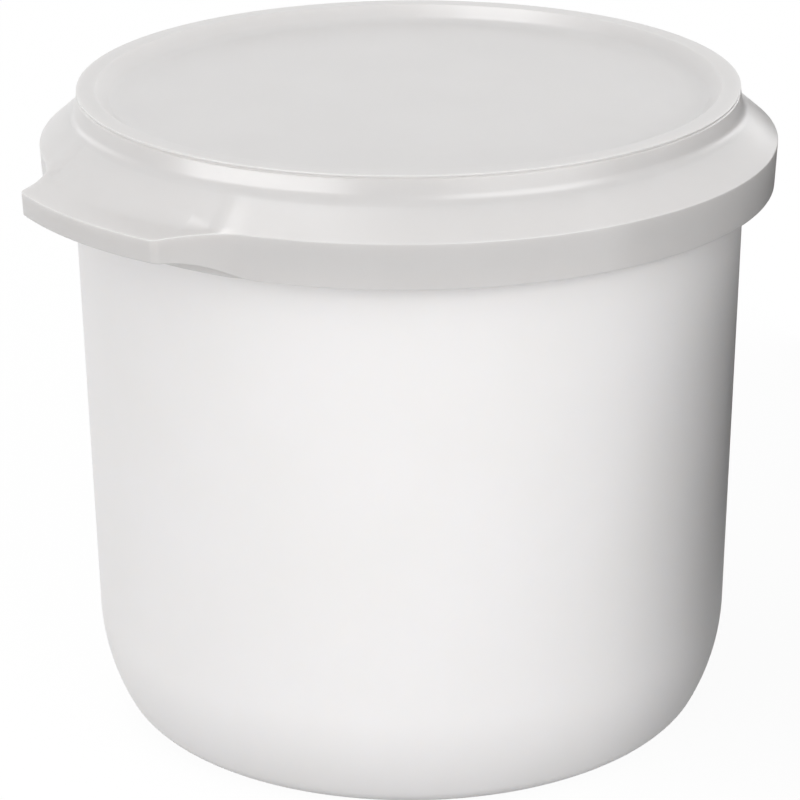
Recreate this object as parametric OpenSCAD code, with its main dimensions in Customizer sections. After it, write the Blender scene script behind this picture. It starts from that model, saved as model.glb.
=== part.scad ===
// Round yogurt maker pot with a push-on lid. Lengths are in millimetres, angles in degrees.
// The pot stands on z = 0 with its axis along z. The lid's pull tab points along -y.

/* [Show] */
// Piece to draw, or all of them in place

/* [Pot] */
// Height of the pot, from the table to the top of its rim
pot_h = 109.7; // [80:0.1:160]
// Diameter that the outside of the tapered wall would have at the table
pot_d = 118.4; // [90:0.2:160]
// Taper of the wall, from upright
draft = 1.13; // [0.5:0.01:2.5]
// Thickness of the wall and the floor
wall_t = 1.6; // [1.2:0.1:2.4]
// How far in from the wall the round bottom edge reaches
heel_w = 9; // [7:0.5:14]
// Radius of the bottom edge where it meets the foot
heel_r = 6; // [4:0.5:6.5]
// Radius of the long curve that leads from the bottom edge into the wall
side_r = 38; // [24:1:60]
// Width of the ring that the pot stands on
foot_w = 4; // [2:0.5:8]
// Height of the hollow inside that ring
foot_h = 1; // [0.5:0.1:2]
// Width of the step from the ring to the hollow
step_w = 0.5; // [0.2:0.1:1]
// Diameter of the dimple round the moulding gate, under the floor
gate_d = 9; // [6:0.5:14]
// Depth of that dimple
gate_h = 0.4; // [0.2:0.1:0.6]
// Diameter of the gate's cut-off stub
stub_d = 2; // [1:0.2:4]
// Length of the stub that shows in the dimple
stub_h = 0.2; // [0.1:0.05:0.3]

/* [Rim] */
// How far the rim stands out from the wall
rim_w = 3.9; // [3.4:0.1:6]
// Thickness of the rim's top
rim_t = 1.4; // [1:0.1:2]
// Height of the rim with its turned-down lip
lip_h = 5.6; // [4:0.1:7]
// Thickness of the turned-down lip
lip_t = 1.3; // [1:0.1:1.8]
// Radius of the rim's edges
rim_r = 0.5; // [0.2:0.1:0.6]

/* [Lid] */
// Thickness of the lid's panel, raised ring and shoulder
lid_t = 1.2; // [0.8:0.1:1.6]
// Height of the lid's flat panel above the pot's rim
panel_h = 7.2; // [6:0.1:12]
// Height of the raised ring above the panel
ring_h = 2.7; // [2:0.1:5]
// Width of the flat top of the raised ring
ring_w = 3.4; // [3.1:0.1:6]
// Width of the sloping inner side of the raised ring
slope_w = 1.9; // [1:0.1:4]
// Height of that slope
slope_h = 1.5; // [0.8:0.1:1.8]
// Width of the fillet between that slope and the panel
fillet_w = 4.2; // [2:0.1:8]
// How much of the fillet's width its steep end takes
fillet_end_w = 1; // [0.4:0.1:1.6]
// Radius of the raised ring's edges
ring_r = 0.5; // [0.2:0.1:0.8]
// How far the raised ring stands out past the plug
ring_out = 0.5; // [0:0.1:0.8]
// Height of the upright edge at the top of the raised ring's outside
ring_edge_h = 1.2; // [1:0.1:1.6]
// How far out the shoulder's curve would run if it kept its slope at the raised ring
pull_w = 1.9; // [1:0.1:3]
// Height above the rim at which it would then turn to the skirt
pull_h = 2.7; // [2:0.1:3.6]
// Height of the skirt
skirt_h = 7.8; // [7.6:0.1:12]
// Thickness of the skirt at its top
skirt_t = 1.5; // [1:0.1:2]
// How much the skirt's outside draws in towards its lower edge
skirt_in = 0.4; // [0:0.1:0.5]
// Radius of the skirt's edges
skirt_r = 0.25; // [0.15:0.05:0.3]
// Height of the snap bead's middle above the skirt's lower edge
bead_z = 1.2; // [1:0.1:1.4]
// Height of the snap bead
bead_h = 1.4; // [1:0.1:1.4]
// How far the snap bead stands in from the skirt
bead_w = 0.2; // [0.1:0.05:0.25]
// Thickness of the plug ring that seals the pot's mouth
plug_t = 1.2; // [0.8:0.1:1.4]
// How far the plug ring reaches below the pot's rim
plug_h = 4.6; // [3:0.1:8]
// How much the plug ring narrows on its way down
plug_in = 0.3; // [0.2:0.1:0.8]
// Radius of the plug ring's lower edges
plug_r = 0.3; // [0.1:0.05:0.35]
// Height of the hollow between the plug ring and the shoulder, above the rim
hollow_h = 4.3; // [3:0.1:4.8]
// Width of that hollow at its top
hollow_w = 1.2; // [0.8:0.1:1.4]

/* [Tab] */
// How far the pull tab stands out from the skirt
tab_w = 8.5; // [5:0.5:14]
// Width of the tab between its sides
tab_across = 38.6; // [24:0.2:60]
// Radius of the tab's outer corners
tab_corner = 2; // [1.5:0.1:4]
// Radius of the hollow curve that leads from each side of the tab into the skirt
tab_root = 20; // [6:1:24]
// Height of the tab's outer wall
tab_h = 4.2; // [3:0.1:5]
// Fall of the tab's top from the skirt to its outer edge
tab_fall = 0.5; // [0:0.1:1]
// Thickness of the tab's walls
tab_t = 1.4; // [1:0.1:2]
// Width of the hollow curve that leads from the shoulder onto the tab
flare_w = 5.9; // [4:0.1:8]
// Share of that curve's width that lies outside the skirt
flare_out = 0.6; // [0.4:0.05:0.7]
// How far up the shoulder that curve starts
flare_h = 1.8; // [1:0.1:2.2]

/* [Clearances] */
// Gap between the lid's seat and the pot's rim
seat_gap = 0.05; // [0:0.01:0.1]
// Gap between the plug ring and the pot's mouth
plug_gap = 0.12; // [0.05:0.01:0.3]
// Gap between the skirt and the rim's lip
skirt_gap = 0.3; // [0.26:0.01:0.5]

/* [Hidden] */
$fn = 96;

pot_colour = [0.93, 0.93, 0.92];
lid_colour = [0.86, 0.87, 0.86];

// How far a cut runs past the surface that it opens
past = 1;

// Points in [r, z] along an arc about c, from angle a to angle b in n steps
function arc(c, r, a, b, n) =
    [for (i = [0:n]) let (t = a + (b - a) * i / n) c + r * [cos(t), sin(t)]];

// Points in [r, z] along a curve that leaves p towards q and arrives at s from q
function bend(p, q, s, n) =
    [for (i = [0:n]) let (t = i / n) (1 - t) * (1 - t) * p + 2 * t * (1 - t) * q + t * t * s];

// The same points from last to first
function reversed(pts) = [for (i = [len(pts) - 1:-1:0]) pts[i]];

// Steps in the round edges, in the middling curves and in the long ones
edge_n = 4;
bend_n = 10;
side_n = 14;

// Radius of the pot's outer and inner wall at a height
function wall_out(z) = pot_d / 2 + z * tan(draft);
function wall_in(z) = wall_out(z) - wall_t / cos(draft);

// The bottom edge is a small arc that stands on the foot, and a long arc that touches both
// the small one and the wall. Its centre lies side_r inside the wall, as far up the wall as
// leaves it side_r - heel_r from the small arc's centre.
foot_r = pot_d / 2 - heel_w;
ring_in_r = foot_r - foot_w;
heel_c = [foot_r, heel_r];
wall_up = [sin(draft), cos(draft)];
wall_inward = [-cos(draft), sin(draft)];
side_start = [pot_d / 2, 0] + side_r * wall_inward;
side_off = side_start - heel_c;
side_run = sqrt(pow(side_off * wall_up, 2) - side_off * side_off + pow(side_r - heel_r, 2))
    - side_off * wall_up;
side_c = side_start + side_run * wall_up;
join_a = atan2(heel_c[1] - side_c[1], heel_c[0] - side_c[0]);

// The rim
rim_or = wall_out(pot_h) + rim_w;
lip_ir = rim_or - lip_t;
mouth_r = wall_in(pot_h);

// The lid is set out from the rim that it closes
seat_z = pot_h + seat_gap;
panel_z = pot_h + panel_h;
top_z = panel_z + ring_h;
skirt_z = seat_z - skirt_h;
skirt_ir = rim_or + skirt_gap;
skirt_or = skirt_ir + skirt_t;
skirt_low_r = skirt_or - skirt_in;
bead_mid = skirt_z + bead_z;
plug_or = mouth_r - plug_gap;
plug_ir = plug_or - plug_t;
plug_z = pot_h - plug_h;
ring_or = plug_or + ring_out;
ring_ir = ring_or - ring_w;
slope_r = ring_ir - slope_w;
slope_z = top_z - slope_h;
panel_r = slope_r - fillet_w;
ring_foot = [ring_or, top_z - ring_edge_h];
crease = [skirt_or, seat_z + skirt_r];
hollow_z = pot_h + hollow_h;

// The tab
tab_or = skirt_or + tab_w;
tab_top = crease[1] - tab_fall;
tab_z = tab_top - tab_h;
tab_half = tab_across / 2;
corner_reach = tab_or - tab_corner;
corner_c = [tab_half - tab_corner, sqrt(pow(corner_reach, 2) - pow(tab_half - tab_corner, 2))];
// The hollow curve beside each corner touches both the corner's curve and the skirt
root_reach = skirt_or + tab_root;
root_out = (pow(root_reach, 2) - pow(tab_corner + tab_root, 2) + pow(corner_reach, 2))
    / (2 * corner_reach);
root_aside = sqrt(pow(root_reach, 2) - pow(root_out, 2));
root_c = (root_out * corner_c + root_aside * [corner_c[1], -corner_c[0]]) / corner_reach;
// Directions of these centres and of the point where the two curves meet, from straight out
corner_a = atan2(corner_c[0], corner_c[1]);
root_a = atan2(root_c[0], root_c[1]);
meet_a = atan2(root_c[0] - corner_c[0], root_c[1] - corner_c[1]);

// Half of the tab's outline from its middle to the skirt, as [across, out], drawn in by a wall
function tab_side(inset) = concat(
    [for (i = [0:bend_n]) let (a = corner_a * i / bend_n) (tab_or - inset) * [sin(a), cos(a)]],
    [for (i = [1:edge_n]) let (a = corner_a + (meet_a - corner_a) * i / edge_n)
        corner_c + (tab_corner - inset) * [sin(a), cos(a)]],
    [for (i = [1:bend_n]) let (a = meet_a - 180 + (root_a - meet_a) * i / bend_n)
        root_c + (tab_root + inset) * [sin(a), cos(a)]],
    [(skirt_or - inset - past) * [sin(root_a), cos(root_a)]]
);

module pot_section() {
    polygon(concat(
        [[0, foot_h], [ring_in_r - step_w, foot_h], [ring_in_r, 0]],
        arc(heel_c, heel_r, -90, join_a, bend_n),
        arc(side_c, side_r, join_a, -draft, side_n),
        [[wall_out(pot_h - rim_t), pot_h - rim_t], [lip_ir, pot_h - rim_t], [lip_ir, pot_h - lip_h]],
        arc([rim_or - rim_r, pot_h - lip_h + rim_r], rim_r, -90, 0, edge_n),
        arc([rim_or - rim_r, pot_h - rim_r], rim_r, 0, 90, edge_n),
        arc([mouth_r + rim_r, pot_h - rim_r], rim_r, 90, 180, edge_n),
        reversed(arc(side_c, side_r - wall_t, join_a, -draft, side_n)),
        reversed(arc(heel_c, heel_r - wall_t, -90, join_a, bend_n)),
        [[ring_in_r, wall_t], [ring_in_r - step_w, wall_t + foot_h], [0, wall_t + foot_h]]
    ));
}

module pot() {
    color(pot_colour) {
        difference() {
            rotate_extrude() pot_section();
            translate([0, 0, foot_h - past]) cylinder(d = gate_d, h = past + gate_h);
        }
        // The stub is rooted in the floor and ends inside the dimple, clear of the table
        translate([0, 0, foot_h + gate_h - stub_h]) cylinder(d = stub_d, h = stub_h + wall_t / 2);
    }
}

module lid_section() {
    slope_under = lid_t * slope_h / slope_w;
    polygon(concat(
        // Top of the panel, out over the raised ring and down the shoulder
        [[0, panel_z]],
        bend([panel_r, panel_z], [slope_r - fillet_end_w, panel_z], [slope_r, slope_z], bend_n),
        arc([ring_ir + ring_r, top_z - ring_r], ring_r, 135, 90, edge_n),
        arc([ring_or - ring_r, top_z - ring_r], ring_r, 90, 0, edge_n),
        bend(ring_foot, [ring_or + pull_w, pot_h + pull_h], crease, side_n),
        // Outside, lower edge and inside of the skirt
        arc([skirt_low_r - skirt_r, skirt_z + skirt_r], skirt_r, 0, -90, edge_n),
        arc([skirt_ir + skirt_r, skirt_z + skirt_r], skirt_r, -90, -180, edge_n),
        bend([skirt_ir, bead_mid - bead_h / 2], [skirt_ir - 2 * bead_w, bead_mid],
             [skirt_ir, bead_mid + bead_h / 2], bend_n),
        [[skirt_ir, seat_z], [lip_ir, seat_z]],
        // Hollow under the shoulder, then the plug ring
        [[plug_or + hollow_w, hollow_z], [plug_or, hollow_z], [plug_or, pot_h]],
        arc([plug_or - plug_in - plug_r, plug_z + plug_r], plug_r, 0, -90, edge_n),
        arc([plug_ir - plug_in + plug_r, plug_z + plug_r], plug_r, -90, -180, edge_n),
        [[plug_ir, ring_foot[1]], [plug_ir, top_z - lid_t], [ring_ir + slope_under, top_z - lid_t]],
        // Underside of the fillet and the panel
        reversed(bend([panel_r, panel_z - lid_t], [slope_r - fillet_end_w, panel_z - lid_t],
                      [slope_r + slope_under, slope_z - lid_t], bend_n)),
        [[0, panel_z - lid_t]]
    ));
}

// Outline of the tab from above, on the -y side, drawn in by a wall
module tab_plan(inset) {
    right = [for (p = tab_side(inset)) [p[0], -p[1]]];
    polygon(concat([[0, 0]], reversed([for (p = right) [-p[0], p[1]]]), right));
}

// The tab's height limits seen from the front. Its lower edge falls to the skirt's at the sides.
module tab_front(lower) {
    end_x = root_c[0] * skirt_or / root_reach;
    low_z = skirt_z + skirt_r;
    rotate([90, 0, 0]) linear_extrude(tab_or + past) polygon([
        [-end_x, low_z - lower], [-tab_half, tab_z - lower], [tab_half, tab_z - lower],
        [end_x, low_z - lower], [end_x, top_z], [-end_x, top_z]
    ]);
}

// All that lies below the tab's top, which flares out of the shoulder, lowered by a wall
module tab_below(lower) {
    z = crease[1] - lower;
    flare_end = flare_w * flare_out;
    rotate_extrude() polygon(concat(
        [[skirt_or - skirt_t / 2, skirt_z - past], [skirt_or - skirt_t / 2, z]],
        bend([crease[0] - flare_w + flare_end, z + flare_h], crease - [0, lower],
             [crease[0] + flare_end, z - tab_fall * flare_end / tab_w], bend_n),
        [[tab_or, z - tab_fall], [tab_or + past, z - tab_fall], [tab_or + past, skirt_z - past]]
    ));
}

module lid() {
    color(lid_colour) {
        rotate_extrude() lid_section();
        difference() {
            intersection() {
                translate([0, 0, skirt_z]) linear_extrude(top_z - skirt_z) tab_plan(0);
                tab_front(0);
                tab_below(0);
            }
            // The tab is open below
            intersection() {
                translate([0, 0, skirt_z - past]) linear_extrude(top_z - skirt_z) tab_plan(tab_t);
                tab_front(tab_h);
                tab_below(tab_t);
            }
        }
    }
}

pot();
lid();
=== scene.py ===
import math

import bpy
import numpy as np
from mathutils import Matrix, Vector


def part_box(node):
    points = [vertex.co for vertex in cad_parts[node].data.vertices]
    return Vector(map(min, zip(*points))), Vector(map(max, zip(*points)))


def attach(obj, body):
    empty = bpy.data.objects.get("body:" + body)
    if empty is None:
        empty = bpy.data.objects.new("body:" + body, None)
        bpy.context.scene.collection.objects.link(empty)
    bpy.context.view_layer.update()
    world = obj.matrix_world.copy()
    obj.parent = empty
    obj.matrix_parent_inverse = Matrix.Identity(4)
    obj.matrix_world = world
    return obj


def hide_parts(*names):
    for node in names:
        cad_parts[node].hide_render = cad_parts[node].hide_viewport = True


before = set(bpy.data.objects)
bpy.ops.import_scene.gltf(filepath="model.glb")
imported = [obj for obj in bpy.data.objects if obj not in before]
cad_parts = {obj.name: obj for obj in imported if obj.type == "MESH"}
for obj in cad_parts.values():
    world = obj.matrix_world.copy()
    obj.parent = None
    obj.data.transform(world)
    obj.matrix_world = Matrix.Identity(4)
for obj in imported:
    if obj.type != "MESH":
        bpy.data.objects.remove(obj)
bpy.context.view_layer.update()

MM = 0.001


# ---------------------------------------------------------------------------------------------
# The pot
# One injection moulding in white polypropylene, 1.6 mm thick. It draws from the mould upwards,
# so its wall tapers, and the rim turns down outside the wall to stiffen the mouth. The gate
# leaves a stub in a dimple under the floor.
# ---------------------------------------------------------------------------------------------

pot_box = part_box("pot")
pot_height = pot_box[1][2] / MM
rim_radius = (pot_box[1][0] - pot_box[0][0]) / 2 / MM

# Sizes in mm, with the slope of each low step as its run
DRAFT = math.radians(1.13)
WALL = 1.6
RIM_WIDTH = 3.9
RIM_THICK = 1.4
LIP_HEIGHT = 5.6
LIP_THICK = 1.3
HEEL_WIDTH = 9.0
HEEL_RADIUS = 6.0
SIDE_RADIUS = 38.0
FOOT_WIDTH = 4.0
FOOT_HEIGHT = 1.0
FOOT_SLOPE = 0.6
GATE_RADIUS = 4.5
GATE_DEPTH = 0.4
GATE_SLOPE = 0.3
STUB_RADIUS = 1.0
STUB_HEIGHT = 0.2
STUB_SLOPE = 0.1
STRAIGHT_HEIGHT = 12
HEEL_STEPS = 18
SIDE_STEPS = 30
POT_COLUMNS = 288

wall_radius = rim_radius - RIM_WIDTH
mouth_radius = wall_radius - WALL / math.cos(DRAFT)
foot_radius = wall_radius - pot_height * math.tan(DRAFT) - HEEL_WIDTH


def arc(centre, radius, start, end, steps):
    """Section points (r, z) = centre + radius (cos a, sin a), with a going evenly from start to
    end, as an array of rows r and z."""
    a = np.linspace(start, end, steps)
    return np.array([centre[0] + radius * np.cos(a), centre[1] + radius * np.sin(a)])[:, :, None]


def rounded(corners, steps=5):
    """A section through corners (r, z, k), each of which may be an array round the object. Corner
    p becomes the curve (1 - t)^2 a + 2 t (1 - t) p + t^2 b, where a and b lie k back and k ahead
    of it, but no further than 0.42 of the way to the next corner. A guard point just outside a
    and b keeps the flat stretches flat when shaded. The first and last corners stay as they are."""
    spread = np.broadcast_arrays(*[np.asarray(v, float) for corner in corners for v in corner])
    grid = np.array(spread).reshape(len(corners), 3, -1).transpose(1, 0, 2)
    points, cut = grid[:2], grid[2, 1:-1]
    middle = points[:, 1:-1]
    back, ahead = points[:, :-2] - middle, points[:, 2:] - middle
    back_length, ahead_length = np.linalg.norm(back, axis=0), np.linalg.norm(ahead, axis=0)
    most, guard = 0.42, 1.15
    cut = np.minimum(cut, most * np.minimum(back_length, ahead_length))
    back, ahead = back / back_length * cut, ahead / ahead_length * cut
    t = np.linspace(0, 1, steps)[:, None, None, None]
    curve = middle + (1 - t) ** 2 * back + t ** 2 * ahead
    curve = np.concatenate([(middle + guard * back)[None], curve, (middle + guard * ahead)[None]])
    curve = curve.transpose(1, 2, 0, 3).reshape(2, -1, grid.shape[2])
    return np.concatenate([points[:, :1], curve, points[:, -1:]], axis=1)


def round_shell(name, section, angles):
    """A closed shell round the z axis. Row i, column j is section point (r, z) of that row and
    angle a of that column, placed at (r cos a, r sin a, z). The section starts and ends on the
    axis, where each end is one pole point under a fan of triangles."""
    r, z = np.broadcast_arrays(section[0] * MM, section[1] * MM + 0 * angles)
    points = np.stack([r * np.cos(angles), r * np.sin(angles), z], axis=-1)
    rows, columns = r.shape[0] - 2, len(angles)
    poles = np.array([[0, 0, z[0, 0]], [0, 0, z[-1, 0]]])
    verts = np.concatenate([points[1:-1].reshape(-1, 3), poles])
    here = np.arange(rows * columns).reshape(rows, columns)
    beside = np.roll(here, -1, axis=1)
    quads = np.stack([here[:-1], beside[:-1], beside[1:], here[1:]], axis=-1).reshape(-1, 4)
    first, last = rows * columns, rows * columns + 1
    start_fan = np.stack([np.full(columns, first), beside[0], here[0]], axis=-1)
    end_fan = np.stack([here[-1], beside[-1], np.full(columns, last)], axis=-1)
    mesh = bpy.data.meshes.new(name)
    mesh.from_pydata(verts, [], quads.tolist() + start_fan.tolist() + end_fan.tolist())
    mesh.shade_smooth()
    piece = bpy.data.objects.new(name, mesh)
    bpy.context.collection.objects.link(piece)
    return piece


def linear(hex_colour):
    """The linear RGBA of an sRGB hex colour: each part c / 255 becomes c / 12.92 up to 0.04045 and
    ((c + 0.055) / 1.055) ^ 2.4 above it."""
    parts = [int(hex_colour[i:i + 2], 16) / 255 for i in (1, 3, 5)]
    return [c / 12.92 if c <= 0.04045 else ((c + 0.055) / 1.055) ** 2.4 for c in parts] + [1.0]


def add(material, kind, links=(), **settings):
    """Adds a node of that kind, sets its inputs and properties by name, and links inputs to other
    nodes' outputs given as (input, node, output)."""
    node = material.node_tree.nodes.new(kind)
    for key, value in settings.items():
        if key in node.inputs:
            node.inputs[key].default_value = value
        elif key.replace("_", " ") in node.inputs:
            node.inputs[key.replace("_", " ")].default_value = value
        else:
            setattr(node, key, value)
    for socket, source, output in links:
        material.node_tree.links.new(source.outputs[output], node.inputs[socket])
    return node


# The side's arc starts at the wall's foot and runs on until it touches the heel's arc from inside
wall_line = np.array([-math.cos(DRAFT), math.sin(DRAFT)])
wall_up = np.array([math.sin(DRAFT), math.cos(DRAFT)])
heel_centre = np.array([foot_radius, HEEL_RADIUS])
side_start = np.array([foot_radius + HEEL_WIDTH, 0.0]) + SIDE_RADIUS * wall_line
offset = side_start - heel_centre
reach = SIDE_RADIUS - HEEL_RADIUS
side_run = math.sqrt((offset @ wall_up) ** 2 - offset @ offset + reach ** 2) - offset @ wall_up
side_centre = side_start + side_run * wall_up
join = math.atan2(*(heel_centre - side_centre)[::-1])

ring_inner = foot_radius - FOOT_WIDTH
floor_under = FOOT_HEIGHT
floor_top = FOOT_HEIGHT + WALL
lip_inner = rim_radius - LIP_THICK
lip_low = pot_height - LIP_HEIGHT
foot_flat, foot_end = foot_radius - 0.5, foot_radius - 0.2
straight_low, straight_run = pot_height - STRAIGHT_HEIGHT, STRAIGHT_HEIGHT * math.tan(DRAFT)
outside_low = arc(side_centre, SIDE_RADIUS, join, -DRAFT, SIDE_STEPS)
inside_low = arc(side_centre, SIDE_RADIUS - WALL, -DRAFT, join, SIDE_STEPS)

# From the middle of the underside out, up and over the rim, and back to the middle inside
pot_section = np.concatenate([
    rounded([
        (0, floor_under + GATE_DEPTH - STUB_HEIGHT, 0),
        (STUB_RADIUS, floor_under + GATE_DEPTH - STUB_HEIGHT, 0.08),
        (STUB_RADIUS + STUB_SLOPE, floor_under + GATE_DEPTH, 0.08),
        (GATE_RADIUS - GATE_SLOPE, floor_under + GATE_DEPTH, 0.2),
        (GATE_RADIUS, floor_under, 0.2),
        (ring_inner - FOOT_SLOPE, floor_under, 0.4),
        (ring_inner, 0, 0.4),
        (foot_flat, 0, 0.1),
        (foot_end, 0, 0),
    ]),
    arc(heel_centre, HEEL_RADIUS, -math.pi / 2, join, HEEL_STEPS)[:, :-1],
    outside_low,
    rounded([
        (wall_radius - straight_run, straight_low, 0),
        (wall_radius - RIM_THICK * math.tan(DRAFT), pot_height - RIM_THICK, 0.5),
        (lip_inner, pot_height - RIM_THICK, 0.4),
        (lip_inner, lip_low, 0.35),
        (rim_radius, lip_low, 0.5),
        (rim_radius, pot_height, 0.6),
        (mouth_radius, pot_height, 0.6),
        (mouth_radius - straight_run, straight_low, 0),
    ]),
    inside_low,
    arc(heel_centre, HEEL_RADIUS - WALL, join, -math.pi / 2, HEEL_STEPS)[:, 1:],
    rounded([
        (foot_end, WALL, 0),
        (ring_inner, WALL, 0.5),
        (ring_inner - FOOT_SLOPE, floor_top, 0.5),
        (6, floor_top, 0),
        (0, floor_top, 0),
    ]),
], axis=1)

pot_angles = np.linspace(0, 2 * np.pi, POT_COLUMNS, endpoint=False)
pot = round_shell("pot_moulding", pot_section, pot_angles)


def moulded_polypropylene():
    """White polypropylene from a polished mould: a soft gloss, a skin that lets a little light in
    below the surface, and the faint long waves of a thin moulded wall."""
    material = bpy.data.materials.new("moulded polypropylene, white")
    material.use_nodes = True
    material.node_tree.nodes.clear()
    place = add(material, "ShaderNodeTexCoord")
    # Waves of 14 mm in the wall, and a fine skin of 0.35 mm drawn a little coarser than the real
    waves = add(material, "ShaderNodeTexNoise", [("Vector", place, "Object")],
                Scale=1 / 0.014, Detail=1.0, Roughness=0.4)
    skin = add(material, "ShaderNodeTexNoise", [("Vector", place, "Object")],
               Scale=1 / 0.00035, Detail=2.0, Roughness=0.6)
    wave_bump = add(material, "ShaderNodeBump", [("Height", waves, "Fac")],
                    Strength=0.06, Distance=0.0006)
    skin_bump = add(material, "ShaderNodeBump",
                    [("Height", skin, "Fac"), ("Normal", wave_bump, "Normal")],
                    Strength=0.08, Distance=0.00003)
    patches = add(material, "ShaderNodeTexNoise", [("Vector", place, "Object")],
                  Scale=1 / 0.03, Detail=3.0, Roughness=0.55)
    gloss = add(material, "ShaderNodeMapRange", [("Value", patches, "Fac")],
                From_Min=0.3, From_Max=0.7, To_Min=0.52, To_Max=0.58)
    tint = add(material, "ShaderNodeValToRGB", [("Fac", patches, "Fac")])
    tint.color_ramp.elements[0].position = 0.3
    tint.color_ramp.elements[0].color = linear("#f1efee")
    tint.color_ramp.elements[1].position = 0.7
    tint.color_ramp.elements[1].color = linear("#f3f1f1")
    plastic = add(material, "ShaderNodeBsdfPrincipled",
                  [("Base Color", tint, "Color"), ("Roughness", gloss, "Result"),
                   ("Normal", skin_bump, "Normal")],
                  IOR=1.49, Specular_IOR_Level=0.35, Subsurface_Weight=0.25, Subsurface_Scale=0.002)
    plastic.inputs["Subsurface Radius"].default_value = (1.0, 0.9, 0.8)
    add(material, "ShaderNodeOutputMaterial", [("Surface", plastic, "BSDF")])
    return material


pot.data.materials.append(moulded_polypropylene())
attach(pot, "pot_body")
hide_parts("pot")


# ---------------------------------------------------------------------------------------------
# The lid
# One moulding in frosted polyethylene, soft enough to push over the rim. A plug ring seals the
# mouth, the seat rests on the rim, and a bead in the skirt holds under the rim's lip. The top
# has a sunk panel, a raised ring and a pull tab that is open below.
# ---------------------------------------------------------------------------------------------

lid_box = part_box("lid")
lid_top = lid_box[1][2] / MM
lid_low = lid_box[0][2] / MM
skirt_radius = lid_box[1][0] / MM
tab_radius = -lid_box[0][1] / MM

# The plug, seat and skirt
PLUG_GAP = 0.12
PLUG_THICK = 1.2
PLUG_DEPTH = 4.6
PLUG_TAPER = 0.3
SEAT_GAP = 0.05
SKIRT_THICK = 1.5
SKIRT_TAPER = 0.4
BEAD_HEIGHT = 1.2
BEAD_WIDTH = 0.2
BEAD_REACH = 0.7
BEAD_FLAT = 0.15

# The panel, the ring round it, the groove under the ring's top edge, and the shoulder
RING_OUT = 0.5
RING_WIDTH = 3.4
RING_HEIGHT = 2.7
SLOPE_WIDTH = 1.9
SLOPE_HEIGHT = 1.5
FILLET_WIDTH = 4.2
RING_WALL = 0.95
PANEL_THICK = 1.2
PANEL_ROWS = (20, 48)
HOLLOW_HEIGHT = 4.3
HOLLOW_WIDTH = 1.2
COLLAR_HEIGHT = 4.3
COLLAR_FLARE = 0.6
COLLAR_ROUND = 1.1
GROOVE_DEPTH = 0.14
GROOVE_STEPS = (0.75, 0.6, 0.42, 0.3)
CREASE_RISE = 0.25
BEND_SHARE = 0.15
BEND_RUN = 3
BEND_ROUND = 3.2

# The tab, its hem, and the fold that its hollow closes to away from it
TAB_HALF = 19.3
TAB_CORNER = 2.0
TAB_ROOT = 20.0
TAB_HEIGHT = 4.2
TAB_FALL = 0.5
TAB_THICK = 1.4
TAB_TAPER = 0.15
TAB_STEPS = (30, 16, 44)
HEM_LEAST = 0.6
BACK_GAP = 0.35
BACK_ROUND = 0.25
HOLLOW_RUN = 1.5
FOLD = (0.45, 0.3, 0.22, 0.14)
FOLD_HEIGHT = 0.02
FOLD_ROUND = 0.02
LID_COLUMNS = 210

seat = pot_height + SEAT_GAP
plug_outer = mouth_radius - PLUG_GAP
plug_inner = plug_outer - PLUG_THICK
plug_low = pot_height - PLUG_DEPTH
ring_outer = plug_outer + RING_OUT
ring_inner_edge = ring_outer - RING_WIDTH
slope_edge = ring_inner_edge - SLOPE_WIDTH
panel = lid_top - RING_HEIGHT
panel_edge = slope_edge - FILLET_WIDTH
skirt_inner = skirt_radius - SKIRT_THICK
crease = seat + CREASE_RISE

# The tab's outline: a front about the lid's axis, small corners, and hollow curves that touch
# both the corners and the skirt
corner_reach, root_reach = tab_radius - TAB_CORNER, skirt_radius + TAB_ROOT
corner = np.array([TAB_HALF - TAB_CORNER, 0.0])
corner[1] = math.sqrt(corner_reach ** 2 - corner[0] ** 2)
root_out = (root_reach ** 2 - (TAB_CORNER + TAB_ROOT) ** 2 + corner_reach ** 2) / (2 * corner_reach)
root_aside = math.sqrt(root_reach ** 2 - root_out ** 2)
root = (root_out * corner + root_aside * np.array([corner[1], -corner[0]])) / corner_reach
corner_turn, root_turn = math.atan2(*corner), math.atan2(*root)
meet_turn = math.atan2(*(root - corner))


def tab_outline(inset):
    """Half of the tab's outline as (angle from its middle, radius), drawn in by the inset. It is
    an arc about the lid's axis, an arc about the corner's centre and an arc about the root's,
    which keep their centres while the inset changes their radii."""
    front_steps, corner_steps, root_steps = TAB_STEPS
    turns = [np.linspace(0, corner_turn, front_steps)[:-1],
             np.linspace(corner_turn, meet_turn, corner_steps)[:-1],
             np.linspace(meet_turn - math.pi, root_turn - math.pi, root_steps)]
    centres = [(0, 0), corner, root]
    radii = [tab_radius - inset, TAB_CORNER - inset, TAB_ROOT + inset]
    across, out = np.concatenate([np.array([c[0] + r * np.sin(a), c[1] + r * np.cos(a)])
                                  for c, r, a in zip(centres, radii, turns)], axis=1)
    return np.arctan2(across, out), np.hypot(across, out)


# Columns round the lid: evenly spread, and close together where the tab's outline turns
tab_middle = 1.5 * np.pi
outline_angle, outline_radius = tab_outline(0)
even = np.linspace(root_turn, 2 * np.pi - root_turn, LID_COLUMNS)
lid_angles = tab_middle + np.concatenate([outline_angle, even[1:-1], -outline_angle[:0:-1]])
from_tab = np.abs((lid_angles - tab_middle + np.pi) % (2 * np.pi) - np.pi)


def smooth_step(t):
    """3 u^2 - 2 u^3, where u is t held between 0 and 1."""
    u = np.clip(t, 0, 1)
    return u * u * (3 - 2 * u)


tab = smooth_step((root_turn - from_tab) / (root_turn - corner_turn))


def mix(plain, at_tab, share=None):
    """The plain value round the lid, going over to the tab's value by the tab's share."""
    share = tab if share is None else share
    return plain + (at_tab - plain) * share


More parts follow.
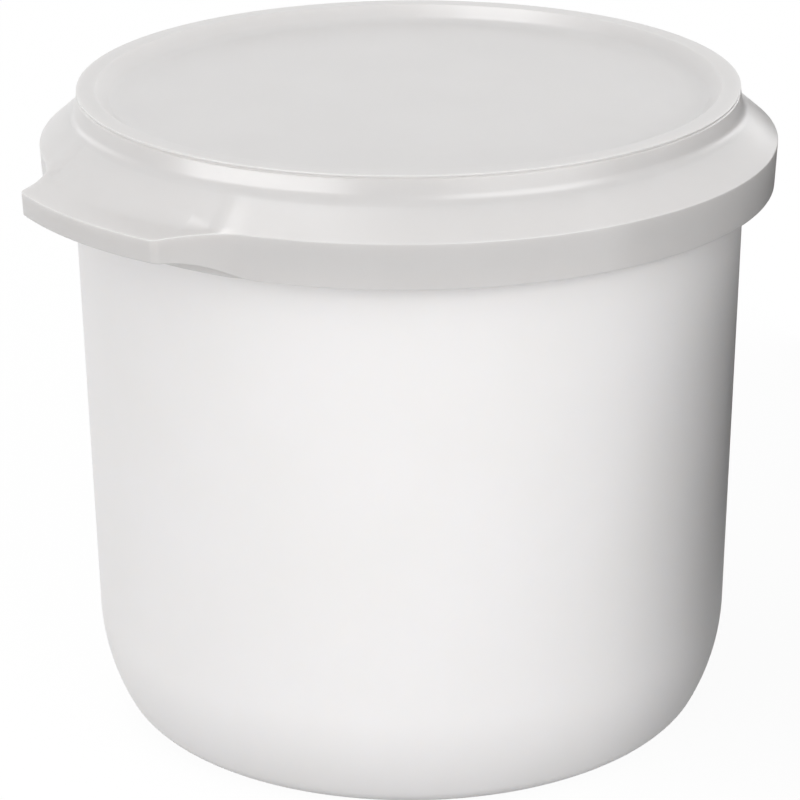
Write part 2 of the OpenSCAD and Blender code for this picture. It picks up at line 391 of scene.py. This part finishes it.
def curve(ends, handles, steps):
    """Section points on the cubic (1-t)^3 p + 3 t (1-t)^2 h + 3 t^2 (1-t) k + t^3 q, with ends p
    and q and handles h and k."""
    t = np.linspace(0, 1, steps)[:, None]
    weights = [(1 - t) ** 3, 3 * t * (1 - t) ** 2, 3 * t ** 2 * (1 - t), t ** 3]
    marks = [ends[0], handles[0], handles[1], ends[1]]
    return np.array([sum(weight * np.asarray(mark[axis]) for weight, mark in zip(weights, marks))
                     for axis in (0, 1)])


edge_radius = np.interp(from_tab, *tab_outline(0))
edge_height = crease - TAB_FALL * (edge_radius - skirt_radius) / (tab_radius - skirt_radius)
wall_low = mix(lid_low, crease - TAB_FALL - TAB_HEIGHT)
skirt_foot = skirt_radius - SKIRT_TAPER
bead = lid_low + BEAD_HEIGHT
wall_foot = edge_radius - mix(SKIRT_TAPER, TAB_TAPER)

# The tab is open below: its wall is a thin hem, with the hollow between the hem and the skirt.
# The hollow opens over the first millimetre that the tab stands out from the skirt.
openness = smooth_step(wall_foot - skirt_foot)
hollow_back = skirt_foot + BACK_GAP
hollow = np.interp(from_tab, *tab_outline(TAB_THICK)) - TAB_TAPER
hollow = np.minimum(np.maximum(hollow, hollow_back), wall_foot - HEM_LEAST * openness)
hollow_depth = crease - TAB_FALL - TAB_THICK - wall_low
hollow_rise = smooth_step((hollow - hollow_back) / HOLLOW_RUN)
hollow_top = wall_low + FOLD_HEIGHT + hollow_depth * hollow_rise

# The slope down to the panel ends in a long soft fillet, above and below
slope_foot = lid_top - SLOPE_HEIGHT
panel_under = panel - PANEL_THICK
under_curve = curve([(panel_edge, panel_under), (slope_edge + RING_WALL, slope_foot - PANEL_THICK)],
                    [(panel_edge + 2.2, panel_under), (slope_edge - 0.3, panel_under + 0.4)], 10)
top_curve = curve([(slope_edge, slope_foot), (panel_edge, panel)],
                  [(slope_edge - 0.9, panel + 0.25), (panel_edge + 1.9, panel)], 14)

# The shoulder runs straight from the foot of the collar to the skirt's edge. At the tab it bends
# where the skirt would begin, and goes on flat to the tab's edge.
collar_foot = (ring_outer + COLLAR_FLARE, lid_top - COLLAR_HEIGHT)
bend_share = smooth_step((edge_radius - skirt_radius) / BEND_RUN)
bend_radius = mix(mix(edge_radius, collar_foot[0], BEND_SHARE), skirt_radius, bend_share)
bend_height = mix(mix(edge_height, collar_foot[1], BEND_SHARE), crease, bend_share)
shoulder = rounded([
    (edge_radius, edge_height, 0),
    (bend_radius, bend_height, mix(0.1, BEND_ROUND, bend_share)),
    (*collar_foot, 0),
], 16)
shoulder_end = 0.55 * shoulder[:, -2] + 0.45 * np.array(collar_foot)[:, None]
groove = [lid_top - step for step in GROOVE_STEPS]

# From the middle of the underside out, down and round the skirt, and back to the middle on top
all_round = np.ones_like(lid_angles)
lid_section = np.concatenate([part * all_round for part in [
    rounded([
        (0, panel_under, 0),
        (PANEL_ROWS[0], panel_under, 0.5),
        (PANEL_ROWS[1], panel_under, 0),
    ], 2),
    under_curve,
    rounded([
        (slope_edge + RING_WALL + 0.15, slope_foot - PANEL_THICK + 0.1, 0),
        (ring_inner_edge + RING_WALL, lid_top - PANEL_THICK, 0.3),
        (plug_inner, lid_top - PANEL_THICK, 0.3),
        (plug_inner - PLUG_TAPER, plug_low, 0.3),
        (plug_outer - PLUG_TAPER, plug_low, 0.3),
        (plug_outer, pot_height, 1.0),
        (plug_outer, pot_height + HOLLOW_HEIGHT, 0.35),
        (plug_outer + HOLLOW_WIDTH, pot_height + HOLLOW_HEIGHT, 0.35),
        (lip_inner, seat, 0.4),
        (skirt_inner, seat, 0.2),
        (skirt_inner, bead + BEAD_REACH, 0.2),
        (skirt_inner - BEAD_WIDTH, bead + BEAD_FLAT, 0.2),
        (skirt_inner - BEAD_WIDTH, bead - BEAD_FLAT, 0.2),
        (skirt_inner, bead - BEAD_REACH, 0.1),
        (skirt_inner, lid_low, 0.3),
        (mix(skirt_foot - FOLD[0], skirt_foot, openness), lid_low, mix(FOLD_ROUND, 0.3)),
        (mix(skirt_foot - FOLD[1], skirt_foot + BACK_ROUND, openness), hollow_top,
         mix(FOLD_ROUND, 0.5)),
        (mix(skirt_foot - FOLD[2], hollow - 0.06, openness), hollow_top, mix(FOLD_ROUND, 0.5)),
        (mix(skirt_foot - FOLD[3], hollow, openness), wall_low, mix(FOLD_ROUND, 0.3)),
        (wall_foot, wall_low, 0.35),
        (edge_radius, edge_height, 0.14),
        (shoulder[0, 1], shoulder[1, 1], 0),
    ]),
    shoulder[:, 2:-1],
    rounded([
        (*shoulder_end, 0),
        (*collar_foot, COLLAR_ROUND),
        (ring_outer, groove[0], 0.1),
        (ring_outer - GROOVE_DEPTH, groove[1], 0.06),
        (ring_outer - GROOVE_DEPTH, groove[2], 0.06),
        (ring_outer, groove[3], 0.06),
        (ring_outer, lid_top, 0.12),
        (ring_inner_edge, lid_top, 0.2),
        (slope_edge, slope_foot, 0.25),
        (top_curve[0, 2, 0], top_curve[1, 2, 0], 0),
    ]),
    top_curve[:, 3:],
    rounded([(PANEL_ROWS[1], panel, 0), (PANEL_ROWS[0], panel, 0.5), (0, panel, 0)], 2),
]], axis=1)

lid = round_shell("lid_moulding", lid_section, lid_angles)


def frosted_polyethylene():
    """Natural polyethylene from an etched mould: milky and soft, with light that spreads inside it
    and glows at thin edges, and a satin skin with no mirror gloss."""
    material = bpy.data.materials.new("frosted polyethylene, natural")
    material.use_nodes = True
    material.node_tree.nodes.clear()
    place = add(material, "ShaderNodeTexCoord")
    # Flow waves of 20 mm, and an etched skin of 0.3 mm drawn a little coarser than the real
    waves = add(material, "ShaderNodeTexNoise", [("Vector", place, "Object")],
                Scale=1 / 0.02, Detail=2.0, Roughness=0.5)
    skin = add(material, "ShaderNodeTexNoise", [("Vector", place, "Object")],
               Scale=1 / 0.0003, Detail=2.0, Roughness=0.6)
    wave_bump = add(material, "ShaderNodeBump", [("Height", waves, "Fac")],
                    Strength=0.1, Distance=0.0008)
    skin_bump = add(material, "ShaderNodeBump",
                    [("Height", skin, "Fac"), ("Normal", wave_bump, "Normal")],
                    Strength=0.06, Distance=0.00003)
    gloss = add(material, "ShaderNodeMapRange", [("Value", waves, "Fac")],
                From_Min=0.3, From_Max=0.7, To_Min=0.28, To_Max=0.3)
    tint = add(material, "ShaderNodeValToRGB", [("Fac", waves, "Fac")])
    tint.color_ramp.elements[0].position = 0.3
    tint.color_ramp.elements[0].color = linear("#cccac9")
    tint.color_ramp.elements[1].position = 0.7
    tint.color_ramp.elements[1].color = linear("#cfcdcc")
    plastic = add(material, "ShaderNodeBsdfPrincipled",
                  [("Base Color", tint, "Color"), ("Roughness", gloss, "Result"),
                   ("Normal", skin_bump, "Normal")],
                  IOR=1.51, Specular_IOR_Level=0.9, Subsurface_Weight=0.6, Subsurface_Scale=0.003)
    plastic.inputs["Subsurface Radius"].default_value = (1.0, 0.95, 0.9)
    add(material, "ShaderNodeOutputMaterial", [("Surface", plastic, "BSDF")])
    return material


lid.data.materials.append(frosted_polyethylene())
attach(lid, "lid_body")
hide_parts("lid")


# ---------------------------------------------------------------------------------------------
# The floor and the lamps
# A white table with soft light from all round and five soft boxes: one on the right, a low strip
# on the left, two small ones behind and one above. A black card stands close on the right, where
# the camera doesn't see it, and takes the light off that side.
# ---------------------------------------------------------------------------------------------

VIEW_AZIMUTH = 48.5
VIEW_ELEVATION = 20.86
AIM_HEIGHT = 57.33
middle = Vector((0, 0, AIM_HEIGHT * MM))


def toward(azimuth, elevation):
    """The unit way out from the object: azimuth turns right from the camera's side, in degrees."""
    a, e = math.radians(VIEW_AZIMUTH + azimuth), math.radians(elevation)
    return Vector((math.sin(a) * math.cos(e), -math.cos(a) * math.cos(e), math.sin(e)))


def soft_box(name, azimuth, elevation, distance, width, height, power):
    """A rectangular area lamp that faces the object."""
    lamp = bpy.data.lights.new(name, "AREA")
    lamp.shape = "RECTANGLE"
    lamp.size, lamp.size_y, lamp.energy = width, height, power
    place = bpy.data.objects.new(name, lamp)
    place.location = middle + toward(azimuth, elevation) * distance
    place.rotation_euler = toward(azimuth, elevation).to_track_quat("Z", "Y").to_euler()
    bpy.context.collection.objects.link(place)
    return place


soft_box("right box", 38, 20, 1.2, 1.1, 0.6, 5.9)
soft_box("left box", -49, 3, 1.2, 1.3, 0.12, 4.6)
soft_box("back left box", -125, 6, 1.2, 0.8, 0.25, 0.7)
soft_box("back right box", 135, 6, 1.2, 0.8, 0.25, 0.9)
soft_box("top box", -118, 74, 1.2, 0.45, 0.4, 2.1)


def stage_sheet(name, corners, material):
    """A flat sheet of the studio through four corners."""
    mesh = bpy.data.meshes.new(name)
    mesh.from_pydata(corners, [], [(0, 1, 2, 3)])
    mesh.materials.append(material)
    sheet = bpy.data.objects.new(name, mesh)
    bpy.context.collection.objects.link(sheet)
    return sheet


def seen_rays(material):
    """A node that gives 1 to camera, transmission and glossy rays, and 0 to the others."""
    rays = add(material, "ShaderNodeLightPath")
    seen = add(material, "ShaderNodeMath",
               [(0, rays, "Is Camera Ray"), (1, rays, "Is Transmission Ray")], operation="MAXIMUM")
    return add(material, "ShaderNodeMath",
               [(0, seen, 0), (1, rays, "Is Glossy Ray")], operation="MAXIMUM")


def table_laminate():
    """White laminate: plain white to the eye with a faint soft shadow round the object, and a
    pale grey to the light that it sends back up."""
    material = bpy.data.materials.new("white laminate")
    material.use_nodes = True
    material.node_tree.nodes.clear()
    top = add(material, "ShaderNodeBsdfDiffuse", Color=linear("#9c9c9c"))
    paper = add(material, "ShaderNodeBsdfDiffuse", Color=linear("#ffffff"))
    glow = add(material, "ShaderNodeEmission", Color=(1, 1, 1, 1), Strength=1.0)
    white = add(material, "ShaderNodeMixShader",
                [(1, paper, "BSDF"), (2, glow, "Emission")], Fac=0.95)
    both = add(material, "ShaderNodeMixShader",
               [(0, seen_rays(material), 0), (1, top, "BSDF"), (2, white, "Shader")])
    add(material, "ShaderNodeOutputMaterial", [("Surface", both, "Shader")])
    return material


def black_felt():
    """Black felt: it gives back almost no light."""
    material = bpy.data.materials.new("black felt")
    material.use_nodes = True
    material.node_tree.nodes.clear()
    felt = add(material, "ShaderNodeBsdfDiffuse", Color=linear("#2c2c2c"))
    add(material, "ShaderNodeOutputMaterial", [("Surface", felt, "BSDF")])
    return material


TABLE_HALF = 4.0
table_corners = [(x * TABLE_HALF, y * TABLE_HALF, 0)
                 for x, y in [(-1, -1), (1, -1), (1, 1), (-1, 1)]]
stage_sheet("table_top", table_corners, table_laminate())

# The card stands along the object's right side, from a little in front of it to behind it
CARD_ASIDE = 0.10
CARD_NEAR = 0.08
CARD_FAR = -0.19
CARD_HEIGHT = 0.116
card_near, card_far = [toward(90, 0) * CARD_ASIDE + toward(0, 0) * along
                       for along in (CARD_NEAR, CARD_FAR)]
lift = Vector((0, 0, CARD_HEIGHT))
card = stage_sheet("side_card", [card_near, card_far, card_far + lift, card_near + lift],
                   black_felt())
card.visible_camera = False

world = bpy.data.worlds.new("studio")
bpy.context.scene.world = world
world.use_nodes = True
world.node_tree.nodes.clear()
level = add(world, "ShaderNodeMapRange", [("Value", seen_rays(world), 0)], To_Min=0.78, To_Max=1.0)
air = add(world, "ShaderNodeBackground", [("Strength", level, "Result")], Color=(1, 1, 1, 1))
add(world, "ShaderNodeOutputWorld", [("Surface", air, "Background")])


# ---------------------------------------------------------------------------------------------
# The camera
# A long lens from a little above, turned so that the tab is on the left.
# ---------------------------------------------------------------------------------------------

DISTANCE = 0.6031
LENS = 144
SENSOR = 36
PICTURE = 800
ASIDE = 10.3
ROLL = math.radians(-0.43)

lens = bpy.data.cameras.new("camera")
lens.lens, lens.sensor_width = LENS, SENSOR
camera = bpy.data.objects.new("camera", lens)
back = toward(0, VIEW_ELEVATION)
turn = back.to_track_quat("Z", "Y").to_matrix().to_4x4()
# The object stands a little right of the middle, by ASIDE of the picture's 800 columns
aside = turn.to_3x3() @ Vector((1, 0, 0)) * (ASIDE / PICTURE * SENSOR / LENS * DISTANCE)
camera.matrix_world = (Matrix.Translation(middle + back * DISTANCE - aside)
                       @ turn @ Matrix.Rotation(ROLL, 4, "Z"))
bpy.context.collection.objects.link(camera)
bpy.context.scene.camera = camera
bpy.context.scene.view_settings.view_transform = "Standard"
